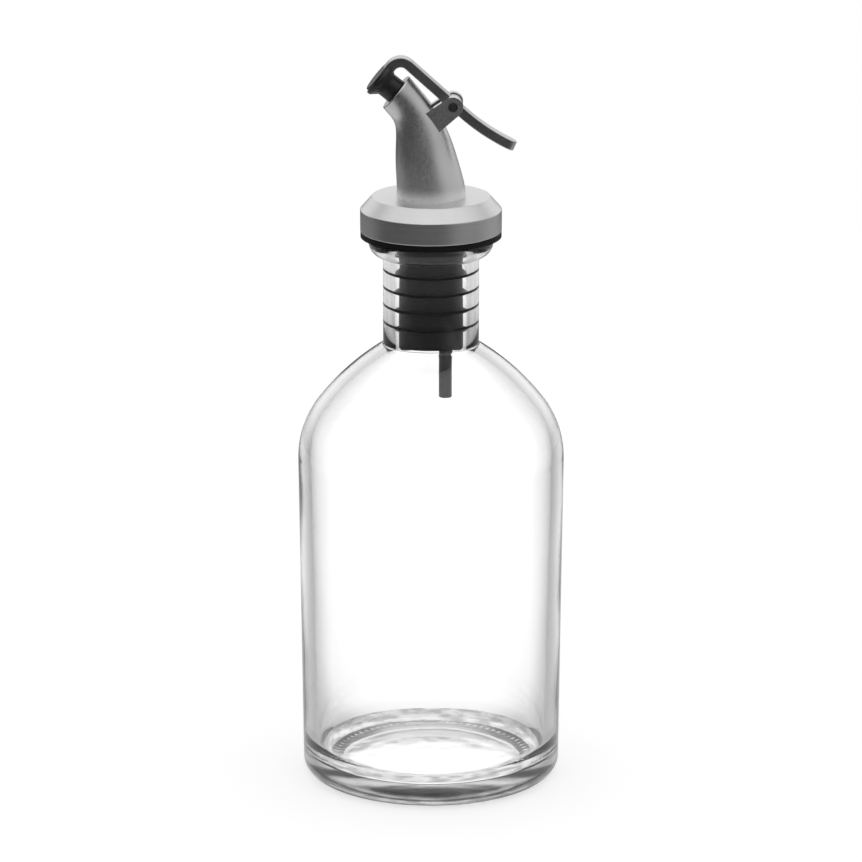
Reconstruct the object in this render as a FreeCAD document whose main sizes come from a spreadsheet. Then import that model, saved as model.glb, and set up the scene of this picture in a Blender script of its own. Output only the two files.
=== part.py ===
# Glass cruet for oil or vinegar: a blown bottle closed by a ribbed rubber stopper that
# carries a cast pouring spout. A bent lever, hinged between two lugs on the back of the
# spout, holds a rubber plug on the mouth; pressing its tail lifts the plug to pour.
# Millimetres, +Z up. The origin is the middle of the ring that the bottle stands on,
# and the spout pours towards -X.

import FreeCAD, Part
import Sketcher
import math
import os
import re

# ---------------------------------------------------------------- driving dimensions

SIZES = {
    "bottle": {
        "body_radius": 32.6,
        "foot_radius": 31.7,
        "heel_round": 4.5,
        "ring_width": 2.4,
        "punt_height": 2.6,
        "wall": 2.9,
        "foot_wall": 3.4,
        "floor_edge": 4.8,
        "floor_middle": 6.2,
        "floor_round": 3.5,
        "shoulder_arc": 23.0,
        "shoulder_turn": 38.0,
        "collar_arc": 64.0,
        "neck_radius": 11.7,
        "bore_radius": 8.7,
        "neck_root_round": 0.9,
        "lip_radius": 15.2,
        "lip_swell": 3.6,
        "lip_round": 1.0,
        "bottle_height": 136.5,
        "top_height": 55.5,
        "lip_height": 4.9,
    },
    "stopper": {
        "flange_radius": 17.15,
        "flange_thickness": 1.3,
        "core_radius": 7.6,
        "stopper_length": 26.5,
        "core_chamfer": 0.5,
        "rib_count": 5,
        "rib_spacing": 4.35,
        "rib_first_drop": 4.3,
        "rib_root": 1.5,
        "rib_tip": 0.6,
        "rib_squeeze": 0.1,
        "channel_radius": 2.9,
        "channel_offset": 2.1,
        "tube_radius": 1.6,
        "tube_bore": 1.0,
        "tube_offset": 3.5,
        "tube_drop": 14.3,
        "tube_end_round": 0.25,
    },
    "cap": {
        "cap_radius": 17.2,
        "cap_skirt": 5.4,
        "cap_bevel_width": 2.9,
        "cap_bevel_height": 3.3,
        "cap_edge_round": 0.35,
        "spigot_radius": 6.9,
        "spigot_fit": 0.05,
    },
    "spout": {
        "spout_foot_radius": 8.4,
        "spigot_lap": 0.5,
        "low_height": 6.5,
        "low_radius": 7.85,
        "low_shift": 0.65,
        "waist_height": 13.0,
        "waist_radius": 6.78,
        "waist_shift": 1.74,
        "waist_tilt": 4.0,
        "bend_height": 18.75,
        "bend_radius": 5.4,
        "bend_shift": 3.45,
        "bend_tilt": 18.0,
        "throat_back": 3.9,
        "throat_drop": 0.8,
        "throat_radius": 4.84,
        "throat_tilt": 39.5,
        "mouth_height": 25.7,
        "mouth_reach": 8.48,
        "mouth_tilt": 50.9,
        "mouth_radius": 4.95,
        "mouth_edge_round": 0.3,
        "pour_radius": 2.9,
        "pour_bend_radius": 8.0,
        "foot_hollow_radius": 5.4,
        "foot_hollow_depth": 15.0,
        "lug_thickness": 2.2,
        "lug_end_radius": 2.45,
        "lug_root_high": 8.0,
        "lug_root_low": 13.9,
        "lug_root_inset": 0.6,
    },
    "lever": {
        "pivot_side": 6.28,
        "pivot_back": 12.64,
        "pin_radius": 1.15,
        "pin_fit": 0.02,
        "pin_recess": 0.9,
        "hinge_fit": 0.06,
        "bar_thickness": 2.4,
        "bar_width": 3.8,
        "bar_side_gap": 0.1,
        "bar_edge_round": 0.25,
        "arm_offset": 0.1,
        "arm_lean": 3.0,
        "arch_radius": 2.9,
        "knuckle_radius": 2.2,
        "tail_straight": 3.0,
        "tail_bend_radius": 50.0,
        "tail_turn": 17.5,
        "tail_flat": 0.4,
        "head_height": 6.0,
        "plate_radius": 3.2,
        "plate_thickness": 0.9,
        "plate_depth": 0.7,
        "bar_lap": 0.5,
    },
    "plug": {
        "stem_radius": 3.05,
        "stem_length": 2.9,
        "collar_radius": 4.5,
        "collar_foot": 4.6,
        "collar_top": 5.4,
        "collar_round": 0.35,
        "button_radius": 3.9,
        "button_round": 0.2,
        "plate_fit": 0.05,
        "nose_depth": 0.25,
        "seat_gap": 0.15,
        "bar_notch_gap": 0.1,
    },
}

document = FreeCAD.newDocument("cruet")
sheet = document.addObject("Spreadsheet::Sheet", "sizes")
NAMES = set()
row = 1
for group, entries in SIZES.items():
    sheet.set(f"A{row}", group)
    row += 1
    for name, number in entries.items():
        sheet.set(f"A{row}", name)
        sheet.set(f"B{row}", str(number))
        sheet.setAlias(f"B{row}", name)
        NAMES.add(name)
        row += 1
document.recompute()

# ---------------------------------------------------------------- heights and places
# Worked out from the driving dimensions, as texts that the sheet can evaluate.

GLASS_TOP = "bottle_height"
BODY_TOP = f"({GLASS_TOP} - top_height)"
LIP_FOOT = f"({GLASS_TOP} - lip_height)"
CAP_FOOT = f"({GLASS_TOP} + flange_thickness)"
CAP_TOP = f"({CAP_FOOT} + cap_skirt + cap_bevel_height)"
STOPPER_FOOT = f"({GLASS_TOP} - stopper_length)"
MOUTH_Z = f"({CAP_TOP} + mouth_height)"
LUG_OUTSIDE = "(bar_width / 2 + bar_side_gap + lug_thickness)"
PLATE_TOP = "(head_height - plate_depth)"
BAR_START = "(plate_radius - bar_lap)"

# How near, in millimetres, two measures are to count as the same when an edge is looked for.
CLOSE = 0.001


def bound(text):
    """The text with each size's name turned into a reference to the sheet."""
    return re.sub(r"[a-z_]+", lambda word: f"sizes.{word[0]}" if word[0] in NAMES else word[0], text)


def number(text):
    """What the text comes to with the sheet's present values."""
    result = sheet.evalExpression(bound(str(text)))
    return float(getattr(result, "Value", result))


def bind(item, prop, text):
    item.setExpression(prop, bound(text))


# ---------------------------------------------------------------- ways of building

def new_body(name):
    body = document.addObject("PartDesign::Body", name)
    body.Label = name
    return body


def set_in_mouth_frame(body):
    """Puts the body's own origin at the middle of the spout's mouth, with its Z axis
    pointing straight out of the mouth and its X axis up along the mouth's face."""
    spin = FreeCAD.Rotation(FreeCAD.Vector(0, 1, 0), -number("mouth_tilt"))
    middle = FreeCAD.Vector(-number("mouth_reach"), 0, number(MOUTH_Z))
    body.Placement = FreeCAD.Placement(middle, spin)
    bind(body, "Placement.Base.x", "-mouth_reach")
    bind(body, "Placement.Base.z", MOUTH_Z)
    bind(body, "Placement.Rotation.Angle", "-mouth_tilt")


def origin_feature(body, role):
    return next(item for item in body.Origin.OriginFeatures if item.Role == role)


def new_sketch(body, name, role="XZ_Plane", shift=("0", "0", "0"), turn=None, axis=(0, 0, 1)):
    """A sketch on one of the body's own planes, moved and turned within that plane's frame."""
    sketch = body.newObject("Sketcher::SketchObject", name)
    sketch.AttachmentSupport = [(origin_feature(body, role), "")]
    sketch.MapMode = "FlatFace"
    spin = FreeCAD.Rotation(FreeCAD.Vector(*axis), number(turn) if turn else 0)
    base = FreeCAD.Vector(*[number(text) for text in shift])
    sketch.AttachmentOffset = FreeCAD.Placement(base, spin)
    for letter, text in zip("xyz", shift):
        if text != "0":
            bind(sketch, f"AttachmentOffset.Base.{letter}", text)
    if turn:
        bind(sketch, "AttachmentOffset.Rotation.Angle", turn)
    return sketch


def tie(sketch, geometry, end, along, up):
    """Fixes one end of a line or arc at a place given by two texts."""
    for kind, text, cross_axis in (("DistanceX", along, -2), ("DistanceY", up, -1)):
        if text == "0":
            sketch.addConstraint(Sketcher.Constraint("PointOnObject", geometry, end, cross_axis))
        else:
            spot = sketch.addConstraint(Sketcher.Constraint(kind, -1, 1, geometry, end, number(text)))
            bind(sketch, f"Constraints[{spot}]", text)


def arc_between(first, last, radius):
    """The short arc from first to last; a positive radius bulges to the right of the way."""
    chord = last - first
    middle = (first + last) * 0.5
    half = chord.Length / 2
    side = FreeCAD.Vector(chord.y, -chord.x, 0).normalize()
    sagitta = abs(radius) - math.sqrt(max(radius * radius - half * half, 0))
    crown = middle + side * math.copysign(sagitta, radius)
    return Part.Arc(first, crown, last)


def outline(sketch, corners, closed=True):
    """An outline, or an open path. A corner is (along, up) or (along, up, radius), where the
    radius is that of the arc to the next corner, with a leading + or - for its bulge."""
    places = [FreeCAD.Vector(number(corner[0]), number(corner[1]), 0) for corner in corners]
    total = len(corners)
    spans = total if closed else total - 1
    for index in range(spans):
        here = places[index]
        there = places[(index + 1) % total]
        if len(corners[index]) == 3:
            sign, text = arc_text(corners[index])
            sketch.addGeometry(arc_between(here, there, sign * number(text)), False)
        else:
            sketch.addGeometry(Part.LineSegment(here, there), False)
    for index, corner in enumerate(corners):
        span = min(index, spans - 1)
        tie(sketch, span, end_at(sketch, span, places[index]), corner[0], corner[1])
        if closed or 0 < index < spans:
            before = (index - 1) % spans
            sketch.addConstraint(Sketcher.Constraint(
                "Coincident", before, end_at(sketch, before, places[index]),
                span, end_at(sketch, span, places[index])))
        if len(corner) == 3:
            text = arc_text(corner)[1]
            mark = sketch.addConstraint(Sketcher.Constraint("Radius", span, number(text)))
            bind(sketch, f"Constraints[{mark}]", text)


def arc_text(corner):
    """The side that a corner's arc bulges to, and the text of its radius."""
    return (-1 if corner[2].startswith("-") else 1), corner[2].lstrip("+-")


def end_at(sketch, geometry, place):
    """Which end of the line or arc lies at the place: 1, its start, or 2, its end."""
    near_start = (sketch.getPoint(geometry, 1) - place).Length
    near_end = (sketch.getPoint(geometry, 2) - place).Length
    return 1 if near_start < near_end else 2


def circle(sketch, radius, along="0", up="0"):
    spot = FreeCAD.Vector(number(along), number(up), 0)
    item = sketch.addGeometry(Part.Circle(spot, FreeCAD.Vector(0, 0, 1), number(radius)), False)
    if along == up == "0":
        sketch.addConstraint(Sketcher.Constraint("Coincident", item, 3, -1, 1))
    else:
        tie(sketch, item, 3, along, up)
    mark = sketch.addConstraint(Sketcher.Constraint("Radius", item, number(radius)))
    bind(sketch, f"Constraints[{mark}]", radius)


def revolve(body, sketch, name, cut=False):
    feature = body.newObject("PartDesign::Groove" if cut else "PartDesign::Revolution", name)
    feature.Profile = sketch
    feature.ReferenceAxis = (sketch, ["V_Axis"])
    feature.Angle = 360
    document.recompute()
    return feature


def pad(body, sketch, name, length, both_ways=False, backwards=False):
    feature = body.newObject("PartDesign::Pad", name)
    feature.Profile = sketch
    feature.Midplane = both_ways
    feature.Reversed = backwards
    bind(feature, "Length", length)
    document.recompute()
    return feature


def cut_away(body, sketch, name, length=None, both_ways=False, backwards=False):
    """A pocket, checked to have taken material away."""
    before = body.Shape.Volume
    feature = body.newObject("PartDesign::Pocket", name)
    feature.Profile = sketch
    feature.Midplane = both_ways
    feature.Reversed = backwards
    if length:
        bind(feature, "Length", length)
    else:
        feature.Type = "ThroughAll"
    document.recompute()
    if body.Shape.Volume >= before:
        raise RuntimeError(f"{name} cuts nothing")
    return feature


def edges_where(body, test):
    """Names of the body's edges that pass a test of the edge and its middle point, both in
    the body's own frame."""
    found = []
    for index, edge in enumerate(body.Tip.Shape.Edges, 1):
        if edge.Degenerated:
            continue
        middle = edge.valueAt((edge.FirstParameter + edge.LastParameter) / 2)
        if test(edge, middle):
            found.append(f"Edge{index}")
    return found


def round_edges(body, name, test, radius, kind="PartDesign::Fillet"):
    tip = body.Tip
    found = edges_where(body, test)
    if not found:
        raise RuntimeError(f"{name} finds no edge")
    feature = body.newObject(kind, name)
    feature.Base = (tip, found)
    bind(feature, "Radius" if kind.endswith("Fillet") else "Size", radius)
    document.recompute()
    return feature


def ring_at(radius, height):
    """True for a full circle of this radius about the Z axis at this height."""
    def test(edge, middle):
        curve = edge.Curve
        if not isinstance(curve, Part.Circle):
            return False
        centre = curve.Center
        centred = math.hypot(centre.x, centre.y) < CLOSE
        return centred and abs(curve.Radius - radius) < CLOSE and abs(centre.z - height) < CLOSE
    return test


# ---------------------------------------------------------------- the glass bottle
# Blown in a mould: a slightly tapered body, a shoulder of two tangent arcs, a straight
# neck and a swollen lip. Its underside is pushed up, so it stands on a ring.

def make_bottle():
    body = new_body("glass_bottle")
    ring_inside = "(foot_radius - heel_round - ring_width)"
    punt_arc = f"(({ring_inside}^2 + punt_height^2) / (2 * punt_height))"
    join_radius = "(body_radius - shoulder_arc * (1 - cos(shoulder_turn)))"
    join_height = f"({BODY_TOP} + shoulder_arc * sin(shoulder_turn))"
    arc_middle = f"({join_radius} - collar_arc * cos(shoulder_turn))"
    arc_height = f"({join_height} - collar_arc * sin(shoulder_turn))"
    neck_root = f"({arc_height} + sqrt(collar_arc^2 - (neck_radius - {arc_middle})^2))"
    swell_height = "sqrt(lip_swell^2 - (neck_radius - lip_radius + lip_swell)^2)"

    outside = new_sketch(body, "outside")
    outline(outside, [
        ("0", "punt_height", f"-{punt_arc}"),
        (ring_inside, "0"),
        ("foot_radius - heel_round", "0", "+heel_round"),
        ("foot_radius", "heel_round"),
        ("body_radius", BODY_TOP, "+shoulder_arc"),
        (join_radius, join_height, "+collar_arc"),
        ("neck_radius", neck_root),
        ("neck_radius", LIP_FOOT, "+lip_swell"),
        ("lip_radius", f"{LIP_FOOT} + {swell_height}"),
        ("lip_radius", f"{GLASS_TOP} - lip_round", "+lip_round"),
        ("lip_radius - lip_round", GLASS_TOP),
        ("0", GLASS_TOP),
    ])
    revolve(body, outside, "glass")

    inner_collar_arc = "(collar_arc - wall)"
    bore_root = f"({arc_height} + sqrt({inner_collar_arc}^2 - (bore_radius - {arc_middle})^2))"
    foot_inside = "(foot_radius - foot_wall)"
    floor_end = f"({foot_inside} - floor_round)"
    floor_rise = "(floor_middle - floor_edge)"
    floor_arc = f"(({floor_end}^2 + {floor_rise}^2) / (2 * {floor_rise}))"
    inside = new_sketch(body, "inside")
    outline(inside, [
        ("0", "floor_middle", f"-{floor_arc}"),
        (floor_end, "floor_edge", "+floor_round"),
        (foot_inside, "floor_edge + floor_round"),
        ("body_radius - wall", BODY_TOP, "+shoulder_arc - wall"),
        ("body_radius - shoulder_arc + (shoulder_arc - wall) * cos(shoulder_turn)",
         f"{BODY_TOP} + (shoulder_arc - wall) * sin(shoulder_turn)", f"+{inner_collar_arc}"),
        ("bore_radius", bore_root),
        ("bore_radius", f"{GLASS_TOP} - lip_round"),
        ("bore_radius + lip_round", GLASS_TOP),
        ("0", GLASS_TOP),
    ])
    revolve(body, inside, "hollow", cut=True)
    root = number(neck_root)
    round_edges(body, "neck_root_blend", ring_at(number("neck_radius"), root), "neck_root_round")
    return body


# ---------------------------------------------------------------- the rubber stopper
# Moulded in one: a flange that lies on the glass lip, a core, and soft ribs a little
# wider than the bore. A wide channel lets the oil out and a narrow one holds the air tube.

def make_stopper():
    body = new_body("stopper")
    profile = new_sketch(body, "profile")
    outline(profile, [
        ("0", STOPPER_FOOT),
        ("core_radius - core_chamfer", STOPPER_FOOT),
        ("core_radius", f"{STOPPER_FOOT} + core_chamfer"),
        ("core_radius", GLASS_TOP),
        ("flange_radius", GLASS_TOP),
        ("flange_radius", CAP_FOOT),
        ("0", CAP_FOOT),
    ])
    revolve(body, profile, "core_and_flange")

    rib_height = f"({GLASS_TOP} - rib_first_drop)"
    rib_radius = "(bore_radius + rib_squeeze)"
    rib = new_sketch(body, "rib")
    outline(rib, [
        ("core_radius - rib_tip", f"{rib_height} - rib_root / 2"),
        ("core_radius", f"{rib_height} - rib_root / 2"),
        (rib_radius, f"{rib_height} - rib_tip / 2"),
        (rib_radius, f"{rib_height} + rib_tip / 2"),
        ("core_radius", f"{rib_height} + rib_root / 2"),
        ("core_radius - rib_tip", f"{rib_height} + rib_root / 2"),
    ])
    first_rib = revolve(body, rib, "first_rib")
    ribs = body.newObject("PartDesign::LinearPattern", "ribs")
    ribs.Originals = [first_rib]
    ribs.Direction = (origin_feature(body, "Z_Axis"), [""])
    ribs.Reversed = True
    bind(ribs, "Length", "rib_spacing * (rib_count - 1)")
    bind(ribs, "Occurrences", "rib_count")
    body.Tip = ribs
    document.recompute()

    channels = new_sketch(body, "channels", "XY_Plane", ("0", "0", STOPPER_FOOT))
    circle(channels, "channel_radius", "-channel_offset")
    circle(channels, "tube_radius", "tube_offset")
    cut_away(body, channels, "pouring_and_air_channels", backwards=True)
    return body


# A thin tube pressed into the narrow channel lets air in behind the oil.

def make_breather_tube():
    body = new_body("breather_tube")
    foot = f"({STOPPER_FOOT} - tube_drop)"
    ring = new_sketch(body, "ring", "XY_Plane", ("tube_offset", "0", foot))
    circle(ring, "tube_radius")
    circle(ring, "tube_bore")
    pad(body, ring, "tube", f"{CAP_FOOT} - {foot}")
    low = number(foot)
    outer = math.pi * number("tube_radius + tube_bore")
    round_edges(body, "dipped_end",
                lambda edge, middle: abs(middle.z - low) < CLOSE and edge.Length > outer,
                "tube_end_round")
    return body


# ---------------------------------------------------------------- the metal cap
# A turned disc with a straight skirt and a broad bevel. It sits on the stopper's flange,
# and the spout's spigot goes down through it.

def make_cap():
    body = new_body("cap")
    hole = "(spigot_radius + spigot_fit)"
    profile = new_sketch(body, "profile")
    outline(profile, [
        (hole, CAP_FOOT),
        ("cap_radius", CAP_FOOT),
        ("cap_radius", f"{CAP_FOOT} + cap_skirt"),
        ("cap_radius - cap_bevel_width", CAP_TOP),
        (hole, CAP_TOP),
    ])
    revolve(body, profile, "disc")
    skirt_top = ring_at(number("cap_radius"), number(f"{CAP_FOOT} + cap_skirt"))
    bevel_top = ring_at(number("cap_radius - cap_bevel_width"), number(CAP_TOP))
    foot = ring_at(number("cap_radius"), number(CAP_FOOT))
    round_edges(body, "eased_edges",
                lambda edge, middle: any(test(edge, middle) for test in (skirt_top, bevel_top, foot)),
                "cap_edge_round")
    return body


# ---------------------------------------------------------------- the spout
# Cast in one piece with its two hinge lugs. The outside is lofted through round sections
# that lean over towards the mouth; the pouring bore follows a bent path inside it.

def make_spout():
    body = new_body("spout")
    throat_reach = "(mouth_reach - throat_back * sin(mouth_tilt) + throat_drop * cos(mouth_tilt))"
    throat_height = "(mouth_height - throat_back * cos(mouth_tilt) - throat_drop * sin(mouth_tilt))"
    sections = [
        ("foot", "0", "0", "spout_foot_radius", None),
        ("low", "low_shift", "low_height", "low_radius", None),
        ("waist", "waist_shift", "waist_height", "waist_radius", "waist_tilt"),
        ("bend", "bend_shift", "bend_height", "bend_radius", "bend_tilt"),
        ("throat", throat_reach, throat_height, "throat_radius", "throat_tilt"),
        ("mouth", "mouth_reach", "mouth_height", "mouth_radius", "mouth_tilt"),
    ]
    rings = []
    for name, reach, height, radius, tilt in sections:
        shift = (f"-{reach}" if reach != "0" else "0", "0", f"{CAP_TOP} + {height}")
        turn = f"-{tilt}" if tilt else None
        ring = new_sketch(body, f"{name}_section", "XY_Plane", shift, turn, (0, 1, 0))
        circle(ring, radius)
        rings.append(ring)
    document.recompute()
    loft = body.newObject("PartDesign::AdditiveLoft", "cast_body")
    loft.Profile = rings[0]
    loft.Sections = rings[1:]
    document.recompute()

    spigot = new_sketch(body, "spigot_ring", "XY_Plane", ("0", "0", CAP_FOOT))
    circle(spigot, "spigot_radius")
    pad(body, spigot, "spigot", f"{CAP_TOP} - {CAP_FOOT} + spigot_lap")

    make_lugs(body)
    make_pouring_bore(body)
    mouth = FreeCAD.Vector(-number("mouth_reach"), 0, number(MOUTH_Z))
    rim_length = 2 * math.pi * number("mouth_radius")
    round_edges(body, "mouth_edge",
                lambda edge, middle: abs(edge.Length - rim_length) < 0.05 * rim_length
                and abs((edge.BoundBox.Center - mouth).Length) < number("mouth_edge_round"),
                "mouth_edge_round")
    return body


def make_lugs(body):
    """Two flat lugs that grow out of the spout's back and taper to the pivot's round end."""
    lug = new_sketch(body, "lug_side", "XZ_Plane",
                     ("-mouth_reach", MOUTH_Z, LUG_OUTSIDE), "mouth_tilt")
    outline(lug, lug_corners())
    first = pad(body, lug, "near_lug", "lug_thickness", backwards=True)
    second = body.newObject("PartDesign::Mirrored", "both_lugs")
    second.Originals = [first]
    second.MirrorPlane = (origin_feature(body, "XZ_Plane"), [""])
    body.Tip = second
    document.recompute()
    hole = new_sketch(body, "pin_hole", "XZ_Plane",
                      ("-mouth_reach", MOUTH_Z, "0"), "mouth_tilt")
    circle(hole, "pin_radius + pin_fit", "pivot_side", "-pivot_back")
    cut_away(body, hole, "pin_bore", f"{LUG_OUTSIDE} * 2", both_ways=True)


def lug_corners():
    """The lug's outline in the mouth's frame: its root line and the two lines from the
    root's ends that touch the round end about the pivot."""
    corners = []
    for side, back in (("high", "lug_root_high"), ("low", "lug_root_low")):
        root_side = "(-lug_root_inset)"
        run = f"(pivot_side - {root_side})"
        rise = f"(pivot_back - {back})"
        reach = f"sqrt({run}^2 + {rise}^2)"
        lean = f"atan2({rise}; {run})"
        half = f"asin(lug_end_radius / {reach})"
        touch = f"sqrt({run}^2 + {rise}^2 - lug_end_radius^2)"
        angle = f"(-({lean}) {'+' if side == 'high' else '-'} {half})"
        corners.append((root_side, f"-{back}",
                        f"{root_side} + {touch} * cos({angle})",
                        f"-{back} + {touch} * sin({angle})"))
    high, low = corners
    return [
        (high[0], high[1]),
        (high[2], high[3], "-lug_end_radius"),
        (low[2], low[3]),
        (low[0], low[1]),
    ]


def make_pouring_bore(body):
    """A round bore up the spout and out of the middle of the mouth, over a wider hollow
    in the foot into which both of the stopper's channels open."""
    corner_back = "((mouth_reach - channel_offset) / sin(mouth_tilt))"
    corner_height = f"({MOUTH_Z} - {corner_back} * cos(mouth_tilt))"
    setback = "(pour_bend_radius * tan(mouth_tilt / 2))"
    path = new_sketch(body, "pouring_path")
    outline(path, [
        ("-channel_offset", CAP_FOOT),
        ("-channel_offset", f"{corner_height} - {setback}", "+pour_bend_radius"),
        (f"-channel_offset - {setback} * sin(mouth_tilt)",
         f"{corner_height} + {setback} * cos(mouth_tilt)"),
        ("-mouth_reach - sin(mouth_tilt)", f"{MOUTH_Z} + cos(mouth_tilt)"),
    ], closed=False)
    section = new_sketch(body, "pouring_section", "XY_Plane", ("-channel_offset", "0", CAP_FOOT))
    circle(section, "pour_radius")
    document.recompute()
    before = body.Shape.Volume
    bore = body.newObject("PartDesign::SubtractivePipe", "pouring_bore")
    bore.Profile = section
    bore.Spine = (path, ["Edge1", "Edge2", "Edge3"])
    document.recompute()
    if body.Shape.Volume >= before:
        raise RuntimeError("the pouring bore cuts nothing")
    hollow = new_sketch(body, "foot_hollow_ring", "XY_Plane", ("0", "0", CAP_FOOT))
    circle(hollow, "foot_hollow_radius")
    cut_away(body, hollow, "foot_hollow", "foot_hollow_depth", backwards=True)


# ---------------------------------------------------------------- the hinge pin
# Pressed through both lugs and sunk a little below their outer faces.

def make_pin():
    body = new_body("hinge_pin")
    set_in_mouth_frame(body)
    section = new_sketch(body, "section")
    circle(section, "pin_radius", "pivot_side", "-pivot_back")
    pad(body, section, "pin", f"2 * ({LUG_OUTSIDE} - pin_recess)", both_ways=True)
    return body


# ---------------------------------------------------------------- the lever
# Bent from flat bar: a round plate over the mouth that the plug is buttoned on, a tight
# arch, a straight arm down to the hinge and a tail that curves away to be pressed.

def make_lever():
    body = new_body("lever")
    set_in_mouth_frame(body)
    plate = "(head_height - bar_thickness / 2)"
    arm_side = "(pivot_side + arm_offset * cos(arm_lean))"
    arm_back = "(pivot_back + arm_offset * sin(arm_lean))"
    corner_side = f"({arm_side} + ({plate} + {arm_back}) * tan(arm_lean))"
    setback = "(arch_radius * tan((90 + arm_lean) / 2))"
    bend_side = f"({arm_side} - tail_straight * sin(arm_lean))"
    bend_back = f"({arm_back} + tail_straight * cos(arm_lean))"
    sweep = "(tail_bend_radius * sin(tail_turn))"
    rise = "(tail_bend_radius * (1 - cos(tail_turn)))"
    path = new_sketch(body, "bar_path")
    outline(path, [
        (BAR_START, plate),
        (f"{corner_side} - {setback}", plate, "-arch_radius"),
        (f"{corner_side} - {setback} * sin(arm_lean)", f"{plate} - {setback} * cos(arm_lean)"),
        (bend_side, f"-{bend_back}", "+tail_bend_radius"),
        (f"{bend_side} - {sweep} * sin(arm_lean) + {rise} * cos(arm_lean)",
         f"-{bend_back} - {sweep} * cos(arm_lean) - {rise} * sin(arm_lean)"),
    ], closed=False)
    section = new_sketch(body, "bar_section", "YZ_Plane", ("0", "0", BAR_START))
    outline(section, [
        ("-bar_width / 2", f"{plate} - bar_thickness / 2"),
        ("bar_width / 2", f"{plate} - bar_thickness / 2"),
        ("bar_width / 2", "head_height"),
        ("-bar_width / 2", "head_height"),
    ])
    document.recompute()
    bar = body.newObject("PartDesign::AdditivePipe", "bent_bar")
    bar.Profile = section
    bar.Spine = (path, ["Edge1", "Edge2", "Edge3", "Edge4"])
    document.recompute()

    disc = new_sketch(body, "plate_ring", "XY_Plane", ("0", "0", PLATE_TOP))
    circle(disc, "plate_radius")
    pad(body, disc, "mouth_plate", "plate_thickness", backwards=True)
    knuckle = new_sketch(body, "knuckle_ring")
    circle(knuckle, "knuckle_radius", "pivot_side", "-pivot_back")
    pad(body, knuckle, "knuckle", "bar_width", both_ways=True)
    hole = new_sketch(body, "hinge_hole")
    circle(hole, "pin_radius + hinge_fit", "pivot_side", "-pivot_back")
    cut_away(body, hole, "hinge_bore", "bar_width", both_ways=True)
    thickness = number("bar_thickness")
    tail_back = -number(f"{bend_back} + {sweep} * cos(arm_lean) / 2")
    round_edges(body, "rounded_tail",
                lambda edge, middle: abs(edge.Length - thickness) < CLOSE and middle.z < tail_back,
                "(bar_width - tail_flat) / 2")
    half_width = number("bar_width / 2")
    round_edges(body, "eased_edges",
                lambda edge, middle: abs(abs(middle.y) - half_width) < CLOSE
                and middle.z < number("plate_radius") and edge.Length > thickness,
                "bar_edge_round")
    return body


# ---------------------------------------------------------------- the plug
# Soft rubber: a stem whose shallow dome closes the mouth, under a collar and a button
# that are pushed over the lever's plate. A notch lets the bar in.

def make_plug():
    body = new_body("plug")
    set_in_mouth_frame(body)
    nose_arc = "((stem_radius^2 + nose_depth^2) / (2 * nose_depth))"
    profile = new_sketch(body, "profile")
    outline(profile, [
        ("0", "seat_gap - nose_depth", f"+{nose_arc}"),
        ("stem_radius", "seat_gap"),
        ("stem_radius", "stem_length"),
        ("collar_radius", "collar_foot"),
        ("collar_radius", "collar_top"),
        ("button_radius", "collar_top"),
        ("button_radius", "head_height"),
        ("0", "head_height"),
    ])
    revolve(body, profile, "stem_collar_and_button")
    collar_foot = ring_at(number("collar_radius"), number("collar_foot"))
    collar_top = ring_at(number("collar_radius"), number("collar_top"))
    round_edges(body, "rounded_collar",
                lambda edge, middle: collar_foot(edge, middle) or collar_top(edge, middle),
                "collar_round")
    round_edges(body, "rounded_button",
                ring_at(number("button_radius"), number("head_height")), "button_round")

    plate_foot = f"({PLATE_TOP} - plate_thickness)"
    seat = new_sketch(body, "plate_seat")
    outline(seat, [
        ("0", plate_foot),
        ("plate_radius + plate_fit", plate_foot),
        ("plate_radius + plate_fit", PLATE_TOP),
        ("0", PLATE_TOP),
    ])
    revolve(body, seat, "seat_for_the_plate", cut=True)
    notch = new_sketch(body, "notch")
    outline(notch, [
        (f"{BAR_START} - bar_notch_gap", "head_height - bar_thickness - bar_notch_gap"),
        ("collar_radius + bar_notch_gap", "head_height - bar_thickness - bar_notch_gap"),
        ("collar_radius + bar_notch_gap", "head_height + bar_notch_gap"),
        (f"{BAR_START} - bar_notch_gap", "head_height + bar_notch_gap"),
    ])
    cut_away(body, notch, "bar_notch", "bar_width + 2 * bar_notch_gap", both_ways=True)
    return body


# ---------------------------------------------------------------- checks and files

PARTS = [
    make_bottle(),
    make_stopper(),
    make_breather_tube(),
    make_cap(),
    make_spout(),
    make_pin(),
    make_lever(),
    make_plug(),
]

document.recompute()
for item in document.Objects:
    if {"Invalid", "Error"} & set(item.State):
        raise RuntimeError(f"{item.Name} failed: {item.State}")
for part in PARTS:
    if part.Shape.isNull() or not part.Shape.isValid() or len(part.Shape.Solids) != 1:
        raise RuntimeError(f"{part.Label} is not one valid solid")
os.makedirs("parts", exist_ok=True)
for part in PARTS:
    part.Shape.exportStep(f"parts/{part.Label}.step")
    print(part.Label, round(part.Shape.Volume, 2))
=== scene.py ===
from math import acos, asin, atan2, cos, degrees, hypot, radians, sin, tan

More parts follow.
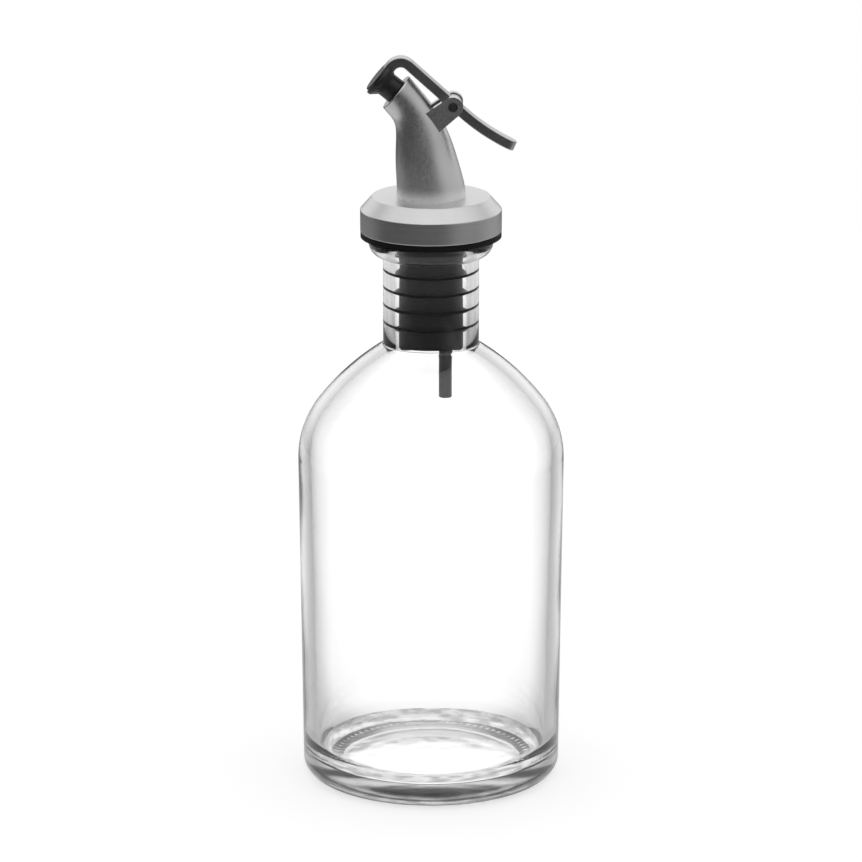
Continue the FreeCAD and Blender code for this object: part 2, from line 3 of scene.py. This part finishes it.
import bpy
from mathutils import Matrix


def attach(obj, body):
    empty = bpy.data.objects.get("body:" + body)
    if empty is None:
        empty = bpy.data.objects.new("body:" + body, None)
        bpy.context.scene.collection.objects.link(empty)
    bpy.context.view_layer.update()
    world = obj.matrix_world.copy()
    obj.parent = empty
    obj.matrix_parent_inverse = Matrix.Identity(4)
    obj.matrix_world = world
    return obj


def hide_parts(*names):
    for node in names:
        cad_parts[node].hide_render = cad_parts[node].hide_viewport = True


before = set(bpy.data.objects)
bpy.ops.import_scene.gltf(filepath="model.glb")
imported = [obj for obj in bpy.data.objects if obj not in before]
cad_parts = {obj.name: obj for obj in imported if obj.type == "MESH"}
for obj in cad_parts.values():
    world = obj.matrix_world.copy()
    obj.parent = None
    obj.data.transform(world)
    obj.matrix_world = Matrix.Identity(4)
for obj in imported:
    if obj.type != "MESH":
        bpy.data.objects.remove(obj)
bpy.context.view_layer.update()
MM = 0.001

# ---------------------------------------------------------------- glass bottle
# Clear soda glass blown in a mould: a slightly tapered body with a thick pushed-up base,
# a round shoulder, a straight neck and a swollen lip. Its wall is real, with an outer and
# an inner surface, so that light bends through it as it does in the bottle.


def start_with(add, **values):
    """A new mesh from one of Blender's primitives, alone in the selection and in edit mode."""
    bpy.ops.object.select_all(action="DESELECT")
    add(**values)
    piece = bpy.context.object
    bpy.ops.object.mode_set(mode="EDIT")
    bpy.ops.mesh.select_all(action="SELECT")
    return piece


# Points closer together than this become one.
merge_distance = 0.002 * MM


def finish_mesh(piece, name, smooth_angle):
    """Ends the edit: names the piece, closes its seams, points its faces outwards,
    smooths it and leaves its object at the origin."""
    bpy.ops.mesh.select_all(action="SELECT")
    bpy.ops.mesh.remove_doubles(threshold=merge_distance)
    bpy.ops.mesh.normals_make_consistent(inside=False)
    bpy.ops.object.mode_set(mode="OBJECT")
    bpy.ops.object.transform_apply(location=True, rotation=True, scale=True)
    bpy.ops.object.shade_smooth_by_angle(angle=radians(smooth_angle))
    piece.name = piece.data.name = name
    return piece


def turned(name, profile, around, smooth_angle):
    """A form turned about the Z axis: a ring is drawn through the profile's points, which
    are (radius, height) in millimetres, and both ends are closed on the axis."""
    radius, height = profile[0]
    piece = start_with(bpy.ops.mesh.primitive_circle_add, vertices=around, radius=radius * MM,
                       fill_type="NGON", location=(0, 0, height * MM))
    for next_radius, next_height in profile[1:]:
        bpy.ops.mesh.extrude_region_move(
            TRANSFORM_OT_translate={"value": (0, 0, (next_height - height) * MM)})
        grow = next_radius / radius
        bpy.ops.transform.resize(value=(grow, grow, 1), center_override=(0, 0, 0))
        radius, height = next_radius, next_height
    return finish_mesh(piece, name, smooth_angle)


def arc(middle_radius, middle_height, radius, start, end, steps):
    """Points of a profile along an arc, from one angle to the other in degrees."""
    turn = [radians(start + (end - start) * step / steps) for step in range(steps + 1)]
    return [(middle_radius + radius * cos(angle), middle_height + radius * sin(angle))
            for angle in turn]


def select_faces(piece, wanted):
    """Leaves selected the faces whose middle and normal pass the test, in edit mode."""
    bpy.ops.object.select_all(action="DESELECT")
    piece.select_set(True)
    bpy.context.view_layer.objects.active = piece
    bpy.ops.object.mode_set(mode="EDIT")
    bpy.ops.mesh.select_mode(type="FACE")
    bpy.ops.mesh.select_all(action="DESELECT")
    bpy.ops.object.mode_set(mode="OBJECT")
    for face in piece.data.polygons:
        face.select = wanted(face.center, face.normal)
    bpy.ops.object.mode_set(mode="EDIT")


# Nearly all of a noise lies between these two values.
noise_low, noise_high = 0.3, 0.7


class Finish:
    """A material with one Principled shader, and short ways to add nodes to it."""

    def __init__(self, name, **sockets):
        self.material = bpy.data.materials.new(name)
        self.material.use_nodes = True
        self.tree = self.material.node_tree
        self.shader = self.tree.nodes["Principled BSDF"]
        self.place = self.tree.nodes.new("ShaderNodeTexCoord").outputs["Object"]
        for socket, value in sockets.items():
            self.shader.inputs[socket.replace("_", " ")].default_value = value

    def add(self, kind, *values, **settings):
        """A node with its settings, and its first inputs as values or other nodes' outputs."""
        node = self.tree.nodes.new(kind)
        for setting, value in settings.items():
            setattr(node, setting, value)
        for socket, value in zip(node.inputs, values):
            self.set(socket, value)
        return node

    def set(self, socket, value):
        """Gives a socket another node's output or a plain value, or leaves it as it is."""
        if isinstance(value, bpy.types.NodeSocket):
            self.tree.links.new(value, socket)
        elif value is not None:
            socket.default_value = value

    def feed(self, socket, value):
        """Gives a value or a node's output to a socket of the shader."""
        self.set(self.shader.inputs[socket], value)

    def count(self, operation, first, second=None):
        return self.add("ShaderNodeMath", first, second, operation=operation).outputs[0]

    def plus(self, first, second):
        return self.count("ADD", first, second)

    def times(self, first, second):
        return self.count("MULTIPLY", first, second)

    def larger(self, first, second):
        return self.count("MAXIMUM", first, second)

    def one_minus(self, value):
        return self.count("SUBTRACT", 1.0, value)

    def parts(self, vector):
        """The vector's X, Y and Z."""
        return self.add("ShaderNodeSeparateXYZ", vector).outputs

    def reach(self, parts):
        """How far out the X and Y of a place or a direction reach from the Z axis."""
        return self.count("SQRT", self.plus(self.count("POWER", parts["X"], 2.0),
                                            self.count("POWER", parts["Y"], 2.0)))

    def grey(self, value):
        """A colour that is the value in red, green and blue."""
        return self.add("ShaderNodeCombineColor", value, value, value).outputs[0]

    def noise(self, scale, detail=2.0, stretch=(1, 1, 1)):
        """Noise of so many waves a metre, which stretch makes finer along an axis."""
        spread = self.add("ShaderNodeMapping")
        self.set(spread.inputs["Vector"], self.place)
        spread.inputs["Scale"].default_value = stretch
        node = self.add("ShaderNodeTexNoise", spread.outputs[0])
        node.inputs["Scale"].default_value = scale
        node.inputs["Detail"].default_value = detail
        return node.outputs[0]

    def ramp(self, factor, *stops):
        """A colour ramp of (position, grey) stops."""
        node = self.add("ShaderNodeValToRGB", factor)
        elements = node.color_ramp.elements
        while len(elements) < len(stops):
            elements.new(0.5)
        for element, (position, grey) in zip(elements, stops):
            element.position = position
            element.color = (grey, grey, grey, 1)
        return node.outputs[0]

    def between(self, noise, low, high):
        """A grey that follows a noise from one value to the other."""
        return self.ramp(noise, (noise_low, low), (noise_high, high))

    def eased(self, value, low, high, start, end):
        """The value's way from low to high, as a smooth step from start to end."""
        return self.add("ShaderNodeMapRange", value, low, high, start, end,
                        interpolation_type="SMOOTHSTEP").outputs[0]

    def bump(self, height, distance):
        """Relief whose height runs from nothing to the distance, in millimetres."""
        node = self.add("ShaderNodeBump")
        self.set(node.inputs["Height"], height)
        node.inputs["Distance"].default_value = distance * MM
        node.inputs["Strength"].default_value = 1.0
        self.feed("Normal", node.outputs[0])


def paint(piece, *finishes):
    """Gives a piece these materials in place of those it has."""
    piece.data.materials.clear()
    for finish in finishes:
        piece.data.materials.append(finish.material)


body_radius, top_height, bottle_height = 32.6, 55.5, 136.5
foot_radius, heel_round, ring_width, punt_height = 31.7, 4.5, 2.4, 2.6
shoulder_arc, shoulder_turn, collar_arc = 23.0, 38.0, 64.0
neck_radius, neck_root_round = 11.7, 0.9
lip_height, lip_radius, lip_swell, lip_round = 4.9, 15.2, 3.6, 1.0
wall, foot_wall, bore_radius = 2.9, 3.4, 8.7
floor_edge, floor_middle, floor_round = 4.8, 6.2, 6.5

body_top = bottle_height - top_height
neck_top = bottle_height - lip_height
ring_outside = foot_radius - heel_round
ring_inside = ring_outside - ring_width
punt_arc = (ring_inside ** 2 + punt_height ** 2) / (2 * punt_height)
shoulder_middle = body_radius - shoulder_arc
join_radius = shoulder_middle + shoulder_arc * cos(radians(shoulder_turn))
join_height = body_top + shoulder_arc * sin(radians(shoulder_turn))
collar_middle = join_radius - collar_arc * cos(radians(shoulder_turn))
collar_height = join_height - collar_arc * sin(radians(shoulder_turn))
neck_turn = degrees(acos((neck_radius - collar_middle) / collar_arc))
neck_root = collar_height + collar_arc * sin(radians(neck_turn))
setback = neck_root_round * tan(radians(neck_turn) / 2)
blend_turn = neck_turn - degrees(setback / collar_arc)
swell_start = -degrees(acos((neck_radius - lip_radius + lip_swell) / lip_swell))
swell_height = neck_top - lip_swell * sin(radians(swell_start))
inner_collar = collar_arc - wall
bore_turn = degrees(acos((bore_radius - collar_middle) / inner_collar))
floor_end = foot_radius - foot_wall - floor_round
floor_rise = floor_middle - floor_edge
floor_arc = (floor_end ** 2 + floor_rise ** 2) / (2 * floor_rise)

# The profile starts and ends a little off the axis, and keeps a little way, in millimetres
# or for the shoulder in degrees, between one stretch and the next where they would meet.
pole, ring_ease, floor_ease, shoulder_ease = 0.4, 0.6, 1, 1
long_steps, collar_steps, floor_steps, corner_steps = 14, 16, 12, 10
lip_steps, root_steps, edge_steps = 12, 6, 5
sides, smooth_angle = 240, 60

bottle = turned("bottle_glass", (
    arc(0, punt_height - punt_arc, punt_arc, 90 - degrees(asin(pole / punt_arc)),
        90 - degrees(asin(ring_inside / punt_arc)), long_steps)
    + [(ring_inside + ring_ease, 0.0), (ring_outside - ring_ease, 0.0)]
    + arc(ring_outside, heel_round, heel_round, -90, 0, long_steps)
    + arc(shoulder_middle, body_top, shoulder_arc, 0, shoulder_turn, long_steps)
    + arc(collar_middle, collar_height, collar_arc, shoulder_turn + shoulder_ease, blend_turn,
          collar_steps)
    + arc(neck_radius + neck_root_round, neck_root + setback, neck_root_round,
          180 + neck_turn, 180, root_steps)
    + arc(lip_radius - lip_swell, swell_height, lip_swell, swell_start, 0, lip_steps)
    + arc(lip_radius - lip_round, bottle_height - lip_round, lip_round, 0, 90, edge_steps)
    + arc(bore_radius + lip_round, bottle_height - lip_round, lip_round, 90, 180, edge_steps)
    + arc(collar_middle, collar_height, inner_collar, bore_turn, shoulder_turn + shoulder_ease,
          collar_steps)
    + arc(shoulder_middle, body_top, shoulder_arc - wall, shoulder_turn, 0, long_steps)
    + arc(floor_end, floor_edge + floor_round, floor_round, 0, -90, corner_steps)
    + arc(0, floor_middle - floor_arc, floor_arc,
          90 - degrees(asin((floor_end - floor_ease) / floor_arc)),
          90 - degrees(asin(pole / floor_arc)), floor_steps)
), sides, smooth_angle)

# The ring it stands on is stippled by the mould with short radial grooves: one of every
# three of its faces is pushed up, and the rest stay on the table.
stipples, stipple_depth, faces_each, straight_down = 80, 0.12, 3, -0.99
select_faces(bottle, lambda middle, normal: (
    normal.z < straight_down and hypot(middle.x, middle.y) > ring_inside * MM
    and int((degrees(atan2(middle.y, middle.x)) % 360)
            * stipples * faces_each / 360) % faces_each == 0))
bpy.ops.transform.translate(value=(0, 0, stipple_depth * MM))
bpy.ops.object.mode_set(mode="OBJECT")

# Three finishes of one glass, all a little wavy, as blown glass is nowhere quite even: the
# inside, the outside, whose colour is painted darker as painted shade where it is seen edge
# on, and the foot, which the mould left less smooth, with grey streaks of painted shade
# around a clear middle. Its shadow lets the light through.
white_colour = (1, 1, 1, 1)
glass_index, foot_roughness, shadow_clear = 1.5, 0.14, 0.985
clear = Finish("clear_glass", Base_Color=white_colour, Roughness=0.0, IOR=glass_index)
edge_shaded = Finish("clear_glass_outside", Base_Color=white_colour, Roughness=0.0, IOR=glass_index)
foot = Finish("clear_glass_foot", Roughness=foot_roughness, IOR=glass_index)
for finish, waves, wave_height in ((clear, 38, 0.22), (edge_shaded, 26, 0.12), (foot, 150, 0.14)):
    finish.shader.inputs["Transmission Weight"].default_value = 1.0
    finish.bump(finish.noise(waves, detail=1.0), wave_height)
    shadow = finish.add("ShaderNodeLightPath").outputs["Is Shadow Ray"]
    passing = finish.add("ShaderNodeBsdfTransparent", (shadow_clear,) * 3 + (1,))
    mixed = finish.add("ShaderNodeMixShader", shadow, finish.shader.outputs[0],
                       passing.outputs[0])
    finish.set(finish.tree.nodes["Material Output"].inputs["Surface"], mixed.outputs[0])

# Painted shade: the outside's colour darkens in a band where the glass is seen edge on.
edge_blend = 0.5
painted_edge_shade = (0.0, 1.0), (0.38, 1.0), (0.6, 0.38), (0.8, 0.8), (1.0, 0.8)
facing = edge_shaded.add("ShaderNodeLayerWeight", edge_blend).outputs["Facing"]
edge_shaded.feed("Base Color", edge_shaded.ramp(facing, *painted_edge_shade))

# Painted shade: the foot's colour turns to grey streaks outside its clear middle.
middle_edge = (0.0195, 0.0225)
streak_waves, streak_range, darkest_shade_streak, lightest_shade_streak = 210, (0.35, 0.65), 0.22, 0.62
painted_shade_streaks = foot.eased(foot.noise(streak_waves, detail=3.0, stretch=(1, 1, 3)), *streak_range,
                     darkest_shade_streak, lightest_shade_streak)
around_middle = foot.eased(foot.reach(foot.parts(foot.place)), *middle_edge, 0.0, 1.0)
shade_greyed = foot.add("ShaderNodeMix", around_middle, data_type="FLOAT")
foot.set(shade_greyed.inputs["A"], 1.0)
foot.set(shade_greyed.inputs["B"], painted_shade_streaks)
foot.feed("Base Color", foot.grey(shade_greyed.outputs[0]))

paint(bottle, clear, edge_shaded, foot)
outside_slot, foot_slot, least_outwards, punt_slack = 1, 2, 0.2, 0.1
for face in bottle.data.polygons:
    middle, normal = face.center, face.normal
    outwards = (normal.x * middle.x + normal.y * middle.y
                > least_outwards * hypot(middle.x, middle.y))
    if outwards and middle.z > heel_round * MM:
        face.material_index = outside_slot
    elif outwards or middle.z < (punt_height + punt_slack) * MM:
        face.material_index = foot_slot
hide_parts("glass_bottle")
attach(bottle, "bottle")

# ---------------------------------------------------------------- stopper
# Black moulded rubber, pressed into the neck on five ribs. It is matt and a little dusty,
# with the fine skin of the mould.

rubber_roughness, rubber_shine = 0.55, 0.22
dust_waves, rubber_dark, rubber_dusty = 240, 0.002, 0.006
skin_waves, skin_height = 1800, 0.04
stopper_rubber = Finish("stopper_rubber", Roughness=rubber_roughness)
stopper_rubber.shader.inputs["Specular IOR Level"].default_value = rubber_shine
stopper_rubber.feed("Base Color", stopper_rubber.ramp(
    stopper_rubber.noise(dust_waves, detail=4.0), (0.35, rubber_dark), (0.75, rubber_dusty)))
stopper_rubber.bump(stopper_rubber.noise(skin_waves, detail=3.0), skin_height)
paint(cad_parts["stopper"], stopper_rubber)

# ---------------------------------------------------------------- breather tube
# A drawn tube of dark grey plastic, pushed into the stopper from below. Its colour is painted
# darker towards and inside the stopper, as painted shade, and paler where it hangs free in the
# bottle; it is faintly uneven from the drawing.

tube_roughness, tube_pale, tube_shaded = 0.45, 0.05, 0.01
# Painted shade: the tube's colour darkens over this span of height, from just below the
# stopper up into it.
tube_shade_span = (0.1074, 0.1222)
draw_waves, draw_height = 300, 0.06
tube_plastic = Finish("tube_plastic", Roughness=tube_roughness)
tube_height = tube_plastic.parts(tube_plastic.place)["Z"]
tube_plastic.feed("Base Color", tube_plastic.ramp(
    tube_plastic.eased(tube_height, *tube_shade_span, 0.0, 1.0), (0.0, tube_pale),
    (1.0, tube_shaded)))
tube_plastic.bump(tube_plastic.noise(draw_waves, stretch=(1, 1, 0.3)), draw_height)
paint(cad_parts["breather_tube"], tube_plastic)

# ---------------------------------------------------------------- cap
# A turned and bevelled cap of stainless steel, brushed round and round in the lathe, so its
# fine marks run in rings about the bottle's axis.

steel_grey, steel_roughness = 0.62, 0.3
cap_darker, cap_lighter, mark_smoother, mark_duller = 0.96, 1.04, 0.04, 0.05
mark_waves, mark_height, cloud_waves = 6000, 0.006, 90
turned_steel = Finish("turned_steel", Metallic=1.0)
place = turned_steel.parts(turned_steel.place)
lathe = turned_steel.add("ShaderNodeCombineXYZ", turned_steel.reach(place), place["Z"], 0.0)
marks = turned_steel.add("ShaderNodeTexNoise", lathe.outputs[0])
marks.inputs["Scale"].default_value = mark_waves
marks.inputs["Detail"].default_value = 3.0
turned_steel.feed("Base Color", turned_steel.between(
    turned_steel.noise(cloud_waves), steel_grey * cap_darker, steel_grey * cap_lighter))
turned_steel.feed("Roughness", turned_steel.between(
    marks.outputs[0], steel_roughness - mark_smoother, steel_roughness + mark_duller))
turned_steel.bump(marks.outputs[0], mark_height)
paint(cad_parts["cap"], turned_steel)

# ---------------------------------------------------------------- spout
# Cast zinc, tumbled and plated: a satin grain over the slight unevenness of a casting. Towards
# its foot its colour is painted lighter, as painted light, and it is more matt there.

grain_waves, grain_smoother, grain_duller = 1600, 0.03, 0.06
swell_waves, swell_share, cast_height = 110, 12.0, 0.004
cast_darker, cast_lighter = 0.94, 1.04
foot_fade, foot_share, low_fade, low_share = (0.1470, 0.1500), 0.6, (0.1490, 0.1620), 0.4
foot_painted_light, foot_duller = 0.36, 0.3
cast_zinc = Finish("cast_zinc", Metallic=1.0)
grain = cast_zinc.noise(grain_waves, detail=3.0)
swell = cast_zinc.noise(swell_waves)
spout_height = cast_zinc.parts(cast_zinc.place)["Z"]
# Painted light: the colour is lightened towards the spout's foot, which is also made more
# matt.
low_down = cast_zinc.plus(cast_zinc.eased(spout_height, *foot_fade, foot_share, 0.0),
                          cast_zinc.eased(spout_height, *low_fade, low_share, 0.0))
cast_grey = cast_zinc.eased(swell, noise_low, noise_high, steel_grey * cast_darker,
                            steel_grey * cast_lighter)
cast_roughness = cast_zinc.eased(grain, noise_low, noise_high,
                                 steel_roughness - grain_smoother,
                                 steel_roughness + grain_duller)
cast_zinc.feed("Base Color", cast_zinc.grey(
    cast_zinc.plus(cast_grey, cast_zinc.times(low_down, foot_painted_light))))
cast_zinc.feed("Roughness", cast_zinc.plus(
    cast_roughness, cast_zinc.times(low_down, foot_duller)))
cast_zinc.bump(cast_zinc.plus(cast_zinc.times(swell, swell_share), grain), cast_height)
paint(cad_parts["spout"], cast_zinc)

# ---------------------------------------------------------------- hinge pin
# A plain steel pin, pressed through both lugs and sunk a little below their outer faces. Its
# colour is painted nearly black, as painted shade of the recess, and it is dull.

pin_roughness, pin_waves, pin_shade_darkest, pin_shade_lightest = 0.4, 900, 0.10, 0.18
pin_steel = Finish("pin_steel", Metallic=1.0, Roughness=pin_roughness)
# Painted shade: the pin's steel is coloured nearly black, for the shade its sunk ends lie in.
pin_steel.feed("Base Color", pin_steel.between(
    pin_steel.noise(pin_waves, detail=3.0), pin_shade_darkest, pin_shade_lightest))
paint(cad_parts["hinge_pin"], pin_steel)

# ---------------------------------------------------------------- lever
# Flat steel bar: a round plate over the mouth, a tight arch, a straight arm down to the hinge
# and a curved tail to press. It is polished, with faint draw marks along its length.

drawn_waves, drawn_height = 700, 0.003
bar_dark, bar_light, bar_smooth, bar_dull = 0.42, 0.50, 0.18, 0.26
bar_steel = Finish("bar_steel", Metallic=1.0)
drawn = bar_steel.noise(drawn_waves, detail=3.0, stretch=(0.2, 2.0, 0.6))
bar_steel.feed("Base Color", bar_steel.between(drawn, bar_dark, bar_light))
bar_steel.feed("Roughness", bar_steel.between(drawn, bar_smooth, bar_dull))
bar_steel.bump(drawn, drawn_height)
paint(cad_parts["lever"], bar_steel)

# ---------------------------------------------------------------- plug
# A moulded button of black rubber, pushed through the hole in the lever's plate. Its matt
# skin is worn a little glossy.

plug_grey, plug_smooth, plug_dull, wear_waves = 0.012, 0.34, 0.50, 500
plug_skin_waves, plug_skin_height = 1500, 0.03
plug_rubber = Finish("plug_rubber", Base_Color=(plug_grey,) * 3 + (1,))
plug_rubber.feed("Roughness", plug_rubber.between(
    plug_rubber.noise(wear_waves, detail=3.0), plug_smooth, plug_dull))
plug_rubber.bump(plug_rubber.noise(plug_skin_waves, detail=3.0), plug_skin_height)
paint(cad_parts["plug"], plug_rubber)

# ---------------------------------------------------------------- table
# A round white table. Its colour and glow are painted light: seen through the glass it is
# painted dimmer to the sides, which gives clear glass its darker edges, and brighter under the
# bottle, and polished metal mirrors it painted dimmer far away. To the camera it glows white.

table_radius, table_sides, table_roughness = 0.6, 96, 0.8
table_white, mottle_darker, mottle_waves = 0.85, 0.995, 400
table_glow, through_glow = 0.28, 0.37
side_light, front_light, under_light = 0.62, 0.9, 1.3
narrow, wide, under_edge, front_edge = 0.985, 0.70, (0.031, 0.036), (-0.2, 0.02)
shiny_edge, shiny_depth, shiny_front, shiny_back = (0.2, 0.3), (-0.1, 0.2), 0.1, 0.5

bpy.ops.object.select_all(action="DESELECT")
bpy.ops.mesh.primitive_circle_add(vertices=table_sides, radius=table_radius,
                                  fill_type="NGON", location=(0, 0, 0))
table = bpy.context.object
table.name = "table"
white = Finish("white_table", Roughness=table_roughness)
spot = white.parts(white.place)
reach = white.reach(spot)
path = white.add("ShaderNodeLightPath").outputs
behind = white.eased(white.count("DIVIDE", spot["Y"], reach), wide, narrow, side_light, 1.0)
under = white.eased(reach, *under_edge, under_light, 0.0)
forwards = white.eased(spot["Y"], *front_edge, front_light, side_light)
lit = white.larger(behind, white.larger(under, forwards))
# Painted light and shade for light seen through the glass: dimmer to the sides, brighter under
# the bottle.
painted_through_light = white.one_minus(white.times(path["Is Transmission Ray"], white.one_minus(lit)))
far_off = white.times(
    white.eased(reach, *shiny_edge, 0.0, 1.0),
    white.eased(spot["Y"], *shiny_depth, 1.0 - shiny_front, 1.0 - shiny_back))
# Painted reflection: the table's colour is dimmed far away where polished metal mirrors it.
painted_reflection_dim = white.one_minus(white.times(white.times(path["Is Glossy Ray"], far_off),
                                       white.one_minus(path["Is Transmission Ray"])))
mottle = white.between(white.noise(mottle_waves, detail=3.0), table_white * mottle_darker,
                       table_white)
white.feed("Base Color", white.grey(white.times(white.times(mottle, painted_through_light), painted_reflection_dim)))
white.feed("Emission Color", white_colour)
# Painted light: the table glows for the camera, and for light through the glass by the painted
# amount.
white.feed("Emission Strength", white.plus(
    white.times(path["Is Camera Ray"], table_glow),
    white.times(white.times(path["Is Transmission Ray"], painted_through_light), through_glow)))
paint(table, white)

# ---------------------------------------------------------------- studio light
# A white studio: a bright wall behind, an overhead light, a softer one to the right, and a dim
# room in front. The camera sees plain white. Light that comes through the glass finds the
# studio dimmer to the sides, overhead and in front.


class Studio(Finish):
    """The world's light, put together with the same short ways."""

    def __init__(self, name):
        self.world = bpy.data.worlds.new(name)
        self.world.use_nodes = True
        self.tree = self.world.node_tree
        self.shader = self.tree.nodes["Background"]


room_light, overhead_light, wall_light, right_light, right_below = 0.08, 1.0, 0.95, 0.5, 0.45
through_wall, through_overhead, through_front = 1.12, 0.5, 0.6

# Where each light starts and is full, by how far a direction points along an axis.
overhead_edge, wall_edge, wall_foot = (0.25, 0.8), (0.1, 0.7), (-0.12, 0.12)
right_edge, right_foot = (0.3, 0.8), (-0.4, 0.1)
through_top, through_depth, through_floor = (0.15, 0.6), (-0.45, -0.05), (-0.7, -0.35)
least_reach = 0.001

studio = Studio("white_studio")
bpy.context.scene.world = studio.world
studio.feed("Color", white_colour)
way = studio.parts(studio.add("ShaderNodeTexCoord").outputs["Generated"])
path = studio.add("ShaderNodeLightPath").outputs

overhead = studio.eased(way["Z"], *overhead_edge, 0.0, overhead_light)
wall_behind = studio.times(studio.eased(way["Y"], *wall_edge, 0.0, wall_light),
                           studio.eased(way["Z"], *wall_foot, 0.0, 1.0))
right = studio.times(studio.eased(way["X"], *right_edge, 0.0, right_light),
                     studio.eased(way["Z"], *right_foot, right_below, 1.0))
room = studio.plus(room_light, studio.larger(overhead, studio.larger(wall_behind, right)))

backwards = studio.count("DIVIDE", way["Y"], studio.larger(studio.reach(way), least_reach))
backdrop = studio.times(
    studio.eased(backwards, wide, narrow, side_light * through_wall, through_wall),
    studio.eased(way["Z"], *through_top, 1.0, through_overhead))
in_front = studio.larger(studio.eased(way["Y"], *through_depth, through_front, 1.0),
                         studio.eased(way["Z"], *through_floor, 1.0, 0.0))
seen_through = studio.times(path["Is Transmission Ray"], studio.times(backdrop, in_front))
straight = studio.larger(path["Is Camera Ray"], seen_through)
other = studio.one_minus(studio.larger(path["Is Camera Ray"], path["Is Transmission Ray"]))
studio.feed("Strength", studio.plus(studio.times(other, room), straight))

# ---------------------------------------------------------------- camera
# A long lens a good metre away, so that the bottle's sides stay nearly parallel. It stands
# higher than the bottle and is tilted down to look at its middle.

camera_place, camera_tilt, camera_lens, camera_sensor = (0, -1.230, 0.425), 15.35, 217.2, 36.0
camera_data = bpy.data.cameras.new("camera")
camera_data.lens = camera_lens
camera_data.sensor_width = camera_sensor
camera = bpy.data.objects.new("camera", camera_data)
bpy.context.collection.objects.link(camera)
camera.location = camera_place
camera.rotation_euler = (radians(90 - camera_tilt), 0, 0)
bpy.context.scene.camera = camera
bpy.context.scene.view_settings.view_transform = "Standard"
